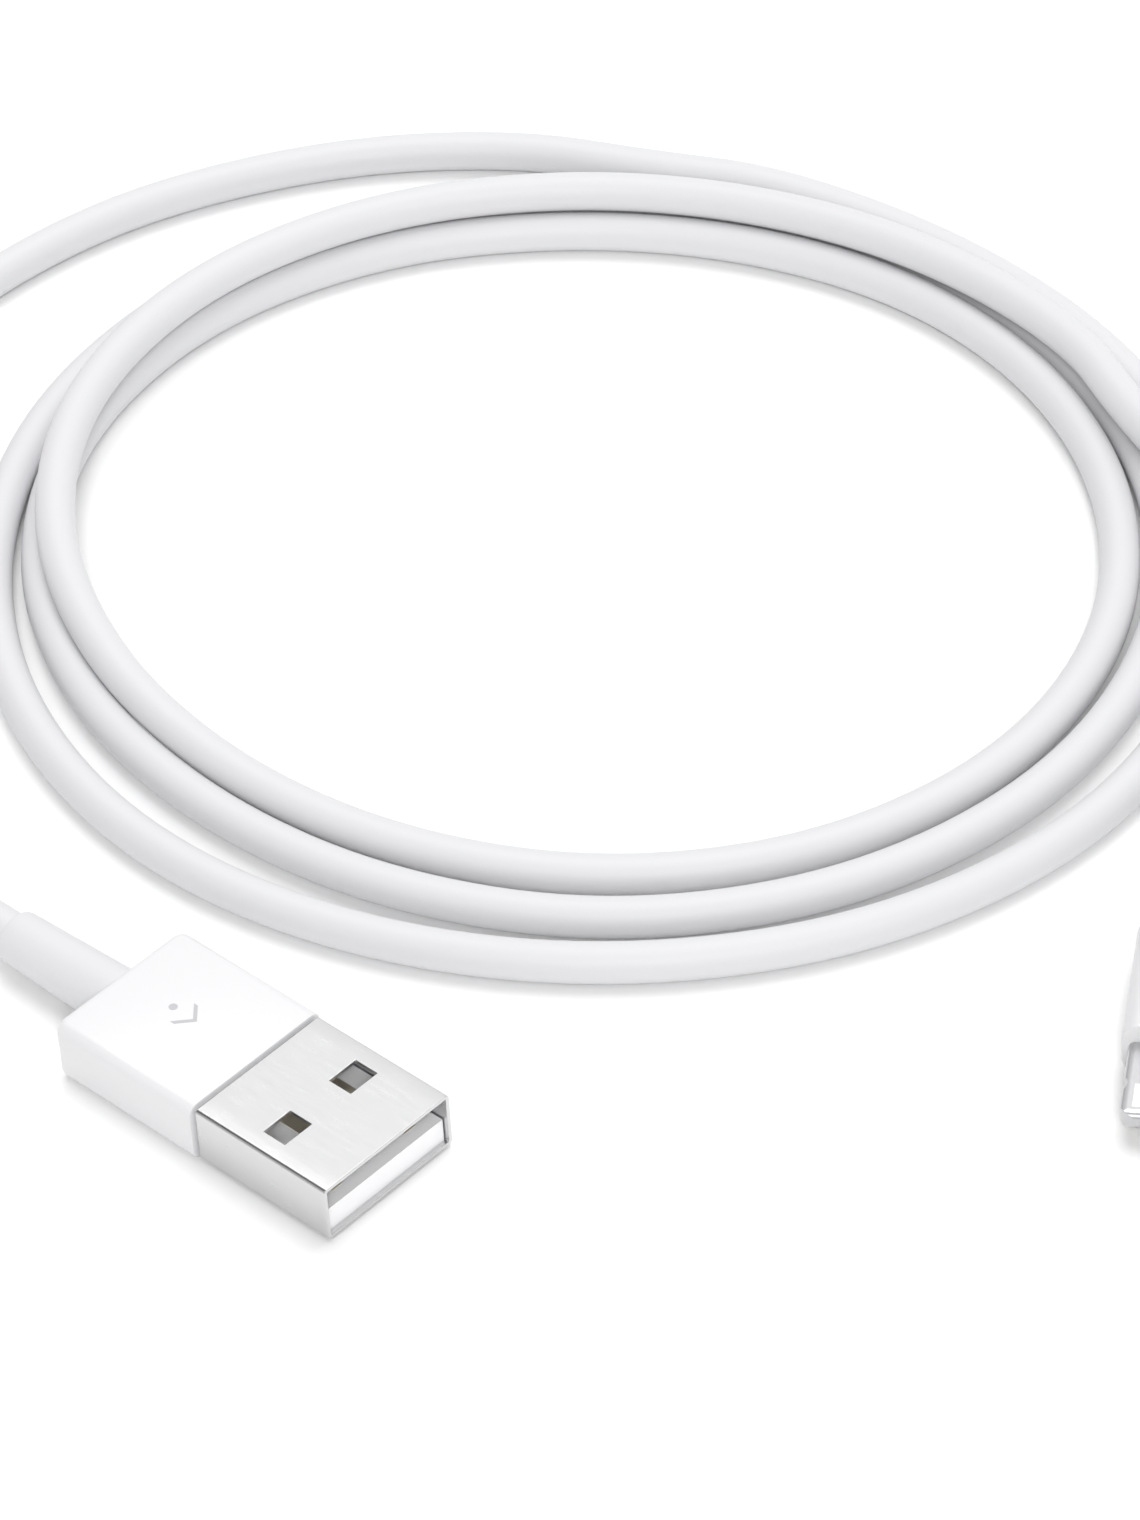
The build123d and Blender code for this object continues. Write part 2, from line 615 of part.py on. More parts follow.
def build_phone_housing(relief):
    outside = rounded_rear_block(
        (PHONE_FRONT, PHONE_REAR, PHONE_HOUSING_WIDTH, PHONE_HOUSING_HEIGHT),
        (PHONE_HOUSING_CORNER, PHONE_REAR_CORNER, PHONE_REAR_ROUNDING), 0)
    can = bar(PHONE_CAN_REAR, PHONE_CAN_FRONT, PHONE_CAN_WIDTH, PHONE_CAN_HEIGHT,
              PHONE_CAN_CORNER)
    crimp = rod(PHONE_CAN_REAR - CRIMP_LENGTH, PHONE_CAN_REAR, CRIMP_OUTER_RADIUS)
    jacket = rod(PHONE_REAR, PHONE_CAN_REAR, CABLE_RADIUS)
    return outside - tab_envelope() - can - crimp - jacket - relief


def build_phone_plug():
    """Every piece of the phone plug, still along its own X."""
    board = build_board()
    pads_top = build_pads(1)
    pads_bottom = build_pads(-1)
    controller = board_component(CONTROLLER_SIZE, CHIP_MIDDLE, 0, 1)
    power_chip = board_component(POWER_CHIP_SIZE, CHIP_MIDDLE, 0, -1)
    capacitors = build_capacitors()
    wires = build_phone_wires()
    cores = build_phone_cores()
    solder = build_phone_solder(cores)
    braid = build_braid(PHONE_CAN_REAR, 0)
    relief = build_phone_relief()
    inside = [board, controller, power_chip, braid] + capacitors + cores + solder
    inside += list(wires.values())
    pieces = {
        "phone_plug_frame": build_frame(),
        "phone_plug_insulator": insulator_envelope() - board - pads_top - pads_bottom,
        "phone_contacts_top": pads_top,
        "phone_contacts_bottom": pads_bottom,
        "phone_board": board,
        "phone_controller_chip": controller,
        "phone_power_chip": power_chip,
        "phone_board_capacitors": capacitors,
        "phone_shield_upper": build_phone_shield(True),
        "phone_shield_lower": build_phone_shield(False),
        "phone_inner_mould": build_phone_inner_mould(inside),
        "phone_housing": build_phone_housing(relief),
        "phone_strain_relief": relief,
        "phone_crimp_ring": build_crimp_ring(PHONE_CAN_REAR, 0),
        "phone_braid": braid,
        "phone_wire_cores": cores,
        "phone_solder_joints": solder,
        "phone_jacket_end": build_jacket_end(PHONE_EXIT, PHONE_JACKET_END, 0),
    }
    pieces.update(wires)
    return pieces


# ---------------------------------------------------------------- cable
def between_stations(values, station):
    """A smooth curve through the listed values, read at any station."""
    last = len(values) - 1
    first = min(int(station), last - 1)
    t = station - first
    a, b, c, d = [values[min(max(first + step, 0), last)] for step in (-1, 0, 1, 2)]
    bend = (2 * a - 5 * b + 4 * c - d) * t ** 2 + (3 * b - a - 3 * c + d) * t ** 3
    return b + 0.5 * ((c - a) * t + bend)


def coil_place(station, aside=0.0):
    """Where the cable is at a station, or a little to the outside of it."""
    bearing = FIRST_BEARING - STATION_STEP * station
    oval = LOOP_OVALNESS * math.cos(math.radians(2 * (bearing - LOOP_LONG_AXIS)))
    reach = LOOP_RADIUS + oval + between_stations(COIL_LANES, station) + aside
    angle = math.radians(bearing)
    return (COIL_CENTRE[0] + reach * math.cos(angle), COIL_CENTRE[1] + reach * math.sin(angle))


def coil_height(station):
    return between_stations(COIL_HEIGHTS, station)


def coil_end(station):
    return (*coil_place(station), coil_height(station))


def coil_stub(station, way):
    """The far end of the straight run that meets the coil's face square on."""
    bearing = math.radians(FIRST_BEARING - STATION_STEP * station)
    x, y, z = coil_end(station)
    return (x - way * LEAD_STUB * math.sin(bearing), y + way * LEAD_STUB * math.cos(bearing), z)


def stations(first, last):
    """Half a station at a time."""
    return [first + step / 2 for step in range(int(2 * (last - first)) + 1)]


def coil_points():
    """The axis of the coiled cable."""
    return [coil_end(station) for station in stations(COIL_FIRST_STATION, COIL_LAST_STATION)]


def build_cable_coil():
    """Outside shape of the wound cable: a flat ring and the single run lying on top of it."""
    outer = Spline(*[coil_place(s, CABLE_RADIUS)
                     for s in stations(COIL_FIRST_STATION, OUTER_WALL_LAST_STATION)])
    ring_outline = make_face(outer + Line(outer @ 1, outer @ 0))
    hole = Pos(*COIL_CENTRE) * Rot(0, 0, LOOP_LONG_AXIS) * Ellipse(
        LOOP_RADIUS + LOOP_OVALNESS - HOLE_MARGIN, LOOP_RADIUS - LOOP_OVALNESS - HOLE_MARGIN)
    ring = extrude(ring_outline - hole, COIL_LOW_TOP)
    top_run = stations(TOP_RUN_FIRST_STATION, COIL_LAST_STATION)
    far_side = Spline(*[coil_place(s, CABLE_RADIUS) for s in top_run])
    near_side = Spline(*[coil_place(s, -CABLE_RADIUS) for s in top_run])
    run_outline = make_face(far_side + near_side + Line(far_side @ 0, near_side @ 0)
                            + Line(far_side @ 1, near_side @ 1))
    run = Pos(0, 0, COIL_LOW_TOP / 2) * extrude(run_outline, COIL_HIGH_TOP - COIL_LOW_TOP / 2)
    return ring + run


def usb_lead_points():
    start = (USB_EXIT, 0, USB_MID)
    coil_face = coil_end(COIL_FIRST_STATION)
    return (start, *USB_LEAD_BENDS, coil_stub(COIL_FIRST_STATION, 1), coil_face)


def phone_lead_points():
    heading = math.radians(PHONE_TURN)
    forward = (math.cos(heading), math.sin(heading))
    exit_place = [place + PHONE_EXIT * way for place, way in zip(PHONE_TIP_PLACE, forward)]
    last_bend = [place - PHONE_LAST_RUN * way for place, way in zip(exit_place, forward)]
    coil_face = coil_end(COIL_LAST_STATION)
    return (coil_face, coil_stub(COIL_LAST_STATION, -1), *PHONE_LEAD_BENDS,
            (*last_bend, PHONE_MID), (*exit_place, PHONE_MID))


# ---------------------------------------------------------------- write the parts
def grouped(shape):
    """One shape, or a group of separate solids that share a node."""
    if isinstance(shape, list):
        return Compound(children=[solid for piece in shape for solid in piece.solids()])
    return shape


def write_parts():
    os.makedirs("parts", exist_ok=True)
    pieces = build_usb_plug()
    for name, shape in build_phone_plug().items():
        pieces[name] = PHONE_PLACE * grouped(shape)
    pieces["cable_coil"] = build_cable_coil()
    pieces["cable_lead_usb"] = bent_rod(usb_lead_points(), CABLE_RADIUS)
    pieces["cable_lead_phone"] = bent_rod(phone_lead_points(), CABLE_RADIUS)
    for name, shape in pieces.items():
        solid = grouped(shape)
        export_step(solid, f"parts/{name}.step")
        print(f"{name}: {len(solid.solids())} solid(s), {solid.volume:.2f} mm3")


def print_lead(name, points):
    """The bend radii and length of a lead, and its volume against section times length."""
    path = bent_path(points)
    volume = bent_rod(points, CABLE_RADIUS).volume
    radii = ", ".join(f"{radius:.1f}" for radius in largest_bends(points))
    print(f"{name}: bend radii {radii} mm; length {path.length:.1f} mm")
    print(f"{name}: volume {volume:.1f} mm3, section x length {JACKET_SECTION * path.length:.1f}")
    return path.length


def print_cable():
    coiled = sum((Vector(*b) - Vector(*a)).length
                 for a, b in zip(coil_points(), coil_points()[1:]))
    lead_usb = print_lead("cable_lead_usb", usb_lead_points())
    lead_phone = print_lead("cable_lead_phone", phone_lead_points())
    print(f"coiled length {coiled:.1f} mm, whole cable {coiled + lead_usb + lead_phone:.1f} mm")


write_parts()
print_cable()
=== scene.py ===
import json
import math

import bmesh
import bpy
from mathutils import Matrix, Vector


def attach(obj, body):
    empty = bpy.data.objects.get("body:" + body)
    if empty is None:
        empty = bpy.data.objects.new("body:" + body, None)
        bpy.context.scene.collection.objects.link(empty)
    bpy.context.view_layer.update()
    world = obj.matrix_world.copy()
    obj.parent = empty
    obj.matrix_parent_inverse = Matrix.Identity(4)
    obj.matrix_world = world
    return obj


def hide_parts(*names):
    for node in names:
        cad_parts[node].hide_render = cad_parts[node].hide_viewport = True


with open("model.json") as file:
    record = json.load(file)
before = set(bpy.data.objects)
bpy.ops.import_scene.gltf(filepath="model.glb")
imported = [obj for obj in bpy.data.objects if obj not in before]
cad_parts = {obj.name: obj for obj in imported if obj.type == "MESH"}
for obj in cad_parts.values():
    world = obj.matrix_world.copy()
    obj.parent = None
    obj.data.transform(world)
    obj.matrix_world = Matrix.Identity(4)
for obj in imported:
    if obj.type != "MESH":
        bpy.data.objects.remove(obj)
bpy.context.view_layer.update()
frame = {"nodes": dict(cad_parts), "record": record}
MM = 0.001

# ---------------------------------------------------------------- camera
CAMERA_PLACE = (0.25446, -0.21713, 0.31699)
CAMERA_ACROSS = (0.73672, 0.67431, -0.05060)
CAMERA_UP = (-0.41622, 0.51117, 0.75197)
CAMERA_BACK = (0.53293, -0.53293, 0.65725)
LENS_MM = 160.0


def add_camera():
    data = bpy.data.cameras.new("camera")
    data.lens = LENS_MM
    data.sensor_width = 36.0
    data.sensor_fit = "AUTO"
    data.clip_start = 0.01
    data.clip_end = 20.0
    camera = bpy.data.objects.new("camera", data)
    turn = Matrix((CAMERA_ACROSS, CAMERA_UP, CAMERA_BACK)).transposed()
    camera.matrix_world = Matrix.Translation(CAMERA_PLACE) @ turn.to_4x4()
    bpy.context.scene.collection.objects.link(camera)
    bpy.context.scene.camera = camera


# ---------------------------------------------------------------- sizes (mm), shared with the part
CABLE_RADIUS = 1.5
USB_TIP, HOUSING_FRONT, HOUSING_REAR, USB_EXIT = 17.8, 5.8, -7.6, -17.8
USB_MID = 2.45
SHELL_WIDTH, SHELL_HEIGHT, SHELL_WALL, SHELL_CORNER = 12.0, 4.5, 0.3, 0.35
NECK_WIDTH, NECK_HEIGHT, NECK_LAP = 11.4, 3.9, 1.5
WINDOW_SIDE, WINDOW_WIDTH, WINDOW_LENGTH, WINDOW_SETBACK = 3.15, 2.55, 2.0, 6.1
SEAM_DEPTH, SEAM_HALF_WIDTH = 0.1, 0.06
SHELL_EDGE = 0.05                     # rounding on the shell's bare edges
GAP = 0.26                            # the fine line between housing and shell
FRONT_EDGE = 0.1                      # rounding on each housing's front edge
NARROWEST_CORNER = 0.25
HOUSING_WIDTH, HOUSING_HEIGHT, HOUSING_CORNER = 12.6, 4.9, 0.9
USB_REAR_CORNER, USB_REAR_ROUNDING = 0.8, 0.6
USB_RELIEF_RADII = (1.95, 2.25)       # at the cable, and at the housing
RELIEF_LIP, RELIEF_LAP = 0.18, 0.8    # rounding at the open end, and reach into the housing
# the printed mark: a chevron and a dot on the housing's top
MARK_SIDE, MARK_SINK, MARK_RISE = 0.15, 0.01, 0.012
CHEVRON_REAR, CHEVRON_TIP, CHEVRON_REACH, CHEVRON_STROKE = -1.5, -0.45, 1.15, 0.378
DOT_PLACE, DOT_RADIUS, DOT_CORNERS = -2.35, 0.32, 24
PHONE_MID = 2.25
PHONE_TIP_PLACE = (55.0, 36.0)
PHONE_TURN = 303.0
PHONE_EXIT, PHONE_REAR, PHONE_FRONT = -27.0, -19.0, -7.0
PHONE_HOUSING_WIDTH, PHONE_HOUSING_HEIGHT, PHONE_HOUSING_CORNER = 7.7, 4.5, 1.4
PHONE_REAR_CORNER, PHONE_REAR_ROUNDING = 1.6, 0.8
PHONE_RELIEF_RADII = (1.8, 1.95)
PHONE_LAST_RUN = 9.2

COIL_CENTRE = (-18.0, 58.7)
LOOP_RADIUS, LOOP_OVALNESS, LOOP_LONG_AXIS = 38.4, 2.1, 9.0
FIRST_BEARING, STATION_STEP = 135.0, 45.0
COIL_FIRST_STATION, COIL_LAST_STATION = 0.5, 25.5
LEAD_STUB = 10.4
# at each station round the coil: how far outside the oval the cable runs, and how high its middle is
COIL_LANES = (
    8.1, 6.0, 6.5, 9.1, 9.6, 9.0, 4.9, 2.8,
    3.2, 3.1, 3.0, 4.1, 5.1, 3.25, 1.4, -0.15,
    -1.15, 0.25, -0.3, 0.3, 0.65, 0.05, 0.0, 0.1,
    0.45, 1.95, 2.95,
)
COIL_HEIGHTS = (
    1.5, 1.5, 1.5, 1.5, 1.5, 1.5, 1.5, 1.5,
    1.5, 1.5, 1.5, 1.5, 1.5, 1.5, 1.5, 1.5,
    1.5, 1.5, 1.5, 1.5, 1.5, 2.2, 4.4, 4.5,
    4.2, 4.2, 4.8,
)
USB_LEAD_BENDS = (
    (-29.0, 0.0, 2.45), (-43.0, 2.0, 1.5), (-57.5, 9.6, 1.5), (-68.5, 22.6, 1.5),
    (-74.2, 38.6, 1.5), (-75.2, 54.1, 1.5), (-72.5, 67.5, 1.5), (-64.7, 81.0, 1.5),
    (-54.2, 90.6, 1.5),
)
PHONE_LEAD_BENDS = (
    (16.6, 87.8, 4.6), (24.8, 82.3, 4.7), (31.6, 74.8, 4.6),
)
# the smooth curve runs just inside the points of a round bend; this puts it back on its radius
OUTSIDE_CURVE = 1.0 / 0.9808


# ---------------------------------------------------------------- cable
def between_stations(values, station):
    """A smooth value at any station, through the values given at whole ones."""
    last = len(values) - 1
    first = min(int(station), last - 1)
    t = station - first
    a, b, c, d = [values[min(max(first + step, 0), last)] for step in (-1, 0, 1, 2)]
    bend = (2 * a - 5 * b + 4 * c - d) * t ** 2 + (3 * b - a - 3 * c + d) * t ** 3
    return b + 0.5 * ((c - a) * t + bend)


def coil_place(station, scale=1.0):
    bearing = FIRST_BEARING - STATION_STEP * station
    oval = LOOP_OVALNESS * math.cos(math.radians(2 * (bearing - LOOP_LONG_AXIS)))
    reach = scale * (LOOP_RADIUS + oval + between_stations(COIL_LANES, station))
    angle = math.radians(bearing)
    return (COIL_CENTRE[0] + reach * math.cos(angle), COIL_CENTRE[1] + reach * math.sin(angle),
            between_stations(COIL_HEIGHTS, station))


def coil_stub(station, way):
    """A point on the tangent to the coil, where a lead joins or leaves it."""
    bearing = math.radians(FIRST_BEARING - STATION_STEP * station)
    x, y, z = coil_place(station)
    return (x - way * LEAD_STUB * math.sin(bearing), y + way * LEAD_STUB * math.cos(bearing), z)


def cable_points():
    """The whole cable's route, from the type-A plug's strain relief to the phone plug's."""
    steps = int(2 * (COIL_LAST_STATION - COIL_FIRST_STATION)) + 1
    coil = [coil_place(COIL_FIRST_STATION + step / 2, OUTSIDE_CURVE) for step in range(steps)]
    heading = math.radians(PHONE_TURN)
    forward = (math.cos(heading), math.sin(heading))
    leaving = [place + PHONE_EXIT * way for place, way in zip(PHONE_TIP_PLACE, forward)]
    last_bend = [place - PHONE_LAST_RUN * way for place, way in zip(leaving, forward)]
    return [(USB_EXIT, 0, USB_MID), *USB_LEAD_BENDS, coil_stub(COIL_FIRST_STATION, 1), *coil,
            coil_stub(COIL_LAST_STATION, -1), *PHONE_LEAD_BENDS,
            (*last_bend, PHONE_MID), (*leaving, PHONE_MID)]


def add_cable():
    data = bpy.data.curves.new("charging_cord", "CURVE")
    data.dimensions = "3D"
    spline = data.splines.new("NURBS")
    points = cable_points()
    spline.points.add(len(points) - 1)
    for point, place in zip(spline.points, points):
        point.co = (place[0] * MM, place[1] * MM, place[2] * MM, 1.0)
        point.radius = CABLE_RADIUS * MM
    spline.order_u = 3
    spline.use_endpoint_u = True
    data.resolution_u = 10
    # the points carry the tube's real radius, because a curve's box is padded by its points' radius
    data.bevel_depth = 1.0
    data.bevel_resolution = 8
    data.use_fill_caps = True
    cable = bpy.data.objects.new("charging_cord", data)
    bpy.context.scene.collection.objects.link(cable)
    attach(cable, "root")
    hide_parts("cable_coil", "cable_lead_usb", "cable_lead_phone")
    data.materials.append(MATERIALS["white_jacket"])
    return cable


# ---------------------------------------------------------------- mesh helpers
SMOOTH_BELOW = math.radians(35.0)     # faces that meet at less than this are shaded as one


def finish_piece(name, mesh, surface, replaced=(), bevel=0.0, place=None):
    """Turns a mesh drawn in millimetres into a piece of the object."""
    if place is not None:
        mesh.transform(place)
    mesh.transform(Matrix.Scale(MM, 4))
    piece = bpy.data.objects.new(name, mesh)
    bpy.context.scene.collection.objects.link(piece)
    for polygon in mesh.polygons:
        polygon.use_smooth = True
    mesh.set_sharp_from_angle(angle=SMOOTH_BELOW)
    mesh.materials.append(MATERIALS[surface])
    if bevel:
        rounding = piece.modifiers.new("rounded_edges", "BEVEL")
        rounding.width = bevel * MM
        rounding.segments = 3
        rounding.limit_method = "ANGLE"
        rounding.angle_limit = SMOOTH_BELOW
        rounding.harden_normals = True
    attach(piece, "root")
    if replaced:
        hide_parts(*replaced)


def rounded_section(x, half_width, half_height, corner, z_mid=0.0, extra_y=(), steps=6):
    """Points round a rounded rectangle standing across X, with extra points along the flats."""
    corner = max(min(corner, half_width, half_height), 0.001)
    points = []
    for quarter in range(4):
        side = 1 if quarter in (0, 3) else -1
        up = 1 if quarter in (0, 1) else -1
        for step in range(steps + 1):
            angle = math.radians(90 * quarter + 90 * step / steps)
            y = side * (half_width - corner) + corner * math.cos(angle)
            z = up * (half_height - corner) + corner * math.sin(angle)
            points.append((x, y, z_mid + z))
        if quarter == 0:
            points += [(x, y, z_mid + half_height) for y in reversed(extra_y)]
        if quarter == 2:
            points += [(x, y, z_mid - half_height) for y in extra_y]
    return points


def circle_section(x, radius, z_mid=0.0, steps=48):
    turn = 2 * math.pi / steps
    return [(x, radius * math.cos(turn * step), z_mid + radius * math.sin(turn * step))
            for step in range(steps)]


def mesh_from(name, bm):
    bmesh.ops.recalc_face_normals(bm, faces=bm.faces)
    mesh = bpy.data.meshes.new(name)
    bm.to_mesh(mesh)
    bm.free()
    return mesh


def skin(rings, looped=False, holes=()):
    """A closed skin through rings of equally many points. holes are (row, place) quads left out."""
    bm = bmesh.new()
    rows = [[bm.verts.new(point) for point in ring] for ring in rings]
    count = len(rows[0])
    pairs = list(zip(rows, rows[1:])) + ([(rows[-1], rows[0])] if looped else [])
    for row, (before, after) in enumerate(pairs):
        for place in range(count):
            if (row, place) in holes:
                continue
            following = (place + 1) % count
            bm.faces.new((before[place], before[following], after[following], after[place]))
    if not looped:
        bm.faces.new(rows[0])
        bm.faces.new(rows[-1])
    return bm, rows


def extruded(name, outline, z_low, z_high):
    """A flat plate with this outline, as a list of (x, y)."""
    bm = bmesh.new()
    low = [bm.verts.new((x, y, z_low)) for x, y in outline]
    high = [bm.verts.new((x, y, z_high)) for x, y in outline]
    bm.faces.new(low)
    bm.faces.new(high)
    for place in range(len(outline)):
        following = (place + 1) % len(outline)
        bm.faces.new((low[place], low[following], high[following], high[place]))
    return mesh_from(name, bm)


# ---------------------------------------------------------------- materials
NOISE_DETAIL = 3.0
BUMP_DEPTH = 0.02 * MM
GLOSS_SPREAD = 0.15


def grained(name, colour, roughness, scale, bump_strength, tone_shift, metallic=0.0, coat=0.0,
            specular=0.5, stretch=(1.0, 1.0, 1.0)):
    """A surface with fine noise in its height, tone and gloss."""
    material = bpy.data.materials.new(name)
    material.use_nodes = True
    nodes, links = material.node_tree.nodes, material.node_tree.links
    shader = nodes["Principled BSDF"]
    shader.inputs["Metallic"].default_value = metallic
    shader.inputs["Specular IOR Level"].default_value = specular
    shader.inputs["Coat Weight"].default_value = coat
    coordinates = nodes.new("ShaderNodeTexCoord")
    mapping = nodes.new("ShaderNodeMapping")
    mapping.inputs["Scale"].default_value = stretch
    noise = nodes.new("ShaderNodeTexNoise")
    noise.inputs["Scale"].default_value = scale
    noise.inputs["Detail"].default_value = NOISE_DETAIL
    bump = nodes.new("ShaderNodeBump")
    bump.inputs["Strength"].default_value = bump_strength
    bump.inputs["Distance"].default_value = BUMP_DEPTH
    tone = nodes.new("ShaderNodeMix")
    tone.data_type = "RGBA"
    tone.inputs[6].default_value = (*[c * (1.0 - tone_shift) for c in colour], 1.0)
    tone.inputs[7].default_value = (*colour, 1.0)
    gloss = nodes.new("ShaderNodeMapRange")
    gloss.inputs["To Min"].default_value = roughness * (1 - GLOSS_SPREAD)
    gloss.inputs["To Max"].default_value = min(roughness * (1 + GLOSS_SPREAD), 1.0)
    links.new(coordinates.outputs["Object"], mapping.inputs["Vector"])
    links.new(mapping.outputs["Vector"], noise.inputs["Vector"])
    links.new(noise.outputs["Fac"], bump.inputs["Height"])
    links.new(bump.outputs["Normal"], shader.inputs["Normal"])
    links.new(noise.outputs["Fac"], tone.inputs[0])
    links.new(tone.outputs[2], shader.inputs["Base Color"])
    links.new(noise.outputs["Fac"], gloss.inputs["Value"])
    links.new(gloss.outputs["Result"], shader.inputs["Roughness"])
    return material


BRUSHED = (0.15, 1.0, 1.0)            # grain drawn out along the plug
MARK_INK = "mark_ink"                 # the printed mark has no slot in the record
MATERIALS = {
    "white_plastic": grained("white_plastic", (0.73, 0.73, 0.74), 0.30, 7000.0, 0.03, 0.01, coat=0.15),
    "white_jacket": grained("white_jacket", (0.68, 0.68, 0.695), 0.50, 5000.0, 0.12, 0.02,
                            specular=0.4),
    "shell_steel": grained("shell_steel", (0.66, 0.66, 0.665), 0.26, 3000.0, 0.04, 0.03, metallic=1.0,
                           stretch=BRUSHED),
    "tab_steel": grained("tab_steel", (0.56, 0.56, 0.57), 0.30, 3000.0, 0.08, 0.06, metallic=1.0),
    "shield_tinplate": grained("shield_tinplate", (0.66, 0.67, 0.68), 0.35, 2500.0, 0.1, 0.08,
                               metallic=1.0),
    "braid_wire": grained("braid_wire", (0.70, 0.67, 0.62), 0.4, 9000.0, 0.5, 0.3, metallic=1.0),
    "solder": grained("solder", (0.72, 0.72, 0.73), 0.3, 4000.0, 0.2, 0.1, metallic=1.0),
    "gold_plate": grained("gold_plate", (0.93, 0.87, 0.72), 0.50, 3000.0, 0.08, 0.06, metallic=1.0),
    "copper": grained("copper", (0.80, 0.46, 0.28), 0.35, 3000.0, 0.1, 0.1, metallic=1.0),
    "tongue_plastic": grained("tongue_plastic", (0.94, 0.94, 0.95), 0.5, 4000.0, 0.1, 0.03),
    "insulator_plastic": grained("insulator_plastic", (0.86, 0.86, 0.86), 0.3, 5000.0, 0.06, 0.02),
    "fill_plastic": grained("fill_plastic", (0.80, 0.80, 0.78), 0.6, 2500.0, 0.2, 0.05),
    "board_green": grained("board_green", (0.05, 0.28, 0.13), 0.4, 3000.0, 0.15, 0.2),
    "chip_black": grained("chip_black", (0.03, 0.03, 0.035), 0.6, 5000.0, 0.3, 0.3),
    "capacitor_tan": grained("capacitor_tan", (0.55, 0.42, 0.28), 0.5, 5000.0, 0.2, 0.15),
    "wire_red": grained("wire_red", (0.70, 0.06, 0.05), 0.45, 3000.0, 0.1, 0.1),
    "wire_white": grained("wire_white", (0.86, 0.86, 0.84), 0.45, 3000.0, 0.1, 0.04),
    "wire_green": grained("wire_green", (0.05, 0.42, 0.15), 0.45, 3000.0, 0.1, 0.1),
    "wire_black": grained("wire_black", (0.03, 0.03, 0.03), 0.45, 3000.0, 0.1, 0.2),
    MARK_INK: grained(MARK_INK, (0.50, 0.50, 0.52), 0.5, 6000.0, 0.05, 0.05),
}


def paint_cad_nodes():
    """Every node kept from the CAD model gets its own slot's surface."""
    for entry in frame["record"]["subparts"]:
        mesh = frame["nodes"][entry["node"]].data
        mesh.materials.clear()
        mesh.materials.append(MATERIALS[entry["material_slot"]])


# ---------------------------------------------------------------- type-A plug
def shell_ring(x, width, height, corner):
    side, half = WINDOW_SIDE, WINDOW_WIDTH / 2
    seam = SEAM_HALF_WIDTH
    stops = (-side - half, -side + half, -seam, 0.0, seam, side - half, side + half)
    return rounded_section(x, width / 2, height / 2, corner, USB_MID, stops)


def with_seam(ring):
    """Presses the seam's fine groove into the underside, at the middle of the flat."""
    lowest = min(z for _, _, z in ring)
    return [(x, y, z + SEAM_DEPTH if y == 0.0 and z == lowest else z) for x, y, z in ring]


def window_places(ring):
    """Where each window's quad starts round a section, on the top and on the underside."""
    inner_edge = WINDOW_SIDE - WINDOW_WIDTH / 2
    places = set()
    for place, (_, y, _) in enumerate(ring):
        if abs(abs(y) - inner_edge) < 1e-6:
            outward = abs(ring[(place + 1) % len(ring)][1]) > abs(y)
            places.add(place if outward else place - 1)
    return places


def line_windows(bm, rows, places, outer_row, inner_row):
    """Joins the wall's two faces round the edge of each window."""
    for place in places:
        following = (place + 1) % len(rows[0])
        outer = [rows[outer_row][place], rows[outer_row][following],
                 rows[outer_row + 1][following], rows[outer_row + 1][place]]
        inner = [rows[inner_row + 1][place], rows[inner_row + 1][following],
                 rows[inner_row][following], rows[inner_row][place]]
        for edge in range(4):
            after = (edge + 1) % 4
            bm.faces.new((outer[edge], outer[after], inner[after], inner[edge]))


def build_usb_shell():
    """Folded shell: shouldered neck, mouth, four windows through the wall, seam underneath."""
    window_rear = USB_TIP - WINDOW_SETBACK - WINDOW_LENGTH / 2
    window_front = USB_TIP - WINDOW_SETBACK + WINDOW_LENGTH / 2
    neck = (NECK_WIDTH, NECK_HEIGHT, SHELL_CORNER)
    full = (SHELL_WIDTH, SHELL_HEIGHT, SHELL_CORNER)
    bore = (SHELL_WIDTH - 2 * SHELL_WALL, SHELL_HEIGHT - 2 * SHELL_WALL, SHELL_CORNER - SHELL_WALL)
    neck_rings = [shell_ring(HOUSING_FRONT - NECK_LAP, *neck), shell_ring(HOUSING_FRONT, *neck)]
    outside = [with_seam(shell_ring(x, *full))
               for x in (HOUSING_FRONT, window_rear, window_front, USB_TIP)]
    inside = [shell_ring(x, *bore)
              for x in (USB_TIP, window_front, window_rear, HOUSING_FRONT + SHELL_WALL)]
    outer_row = len(neck_rings) + 1
    inner_row = len(neck_rings) + len(outside) + 1
    places = window_places(outside[1])
    holes = {(row, place) for row in (outer_row, inner_row) for place in places}
    bm, rows = skin(neck_rings + outside + inside, holes=holes)
    line_windows(bm, rows, places, outer_row, inner_row)
    finish_piece("usb_shell_folded", mesh_from("usb_shell_folded", bm), "shell_steel",
                 ["usb_shell"], bevel=SHELL_EDGE)


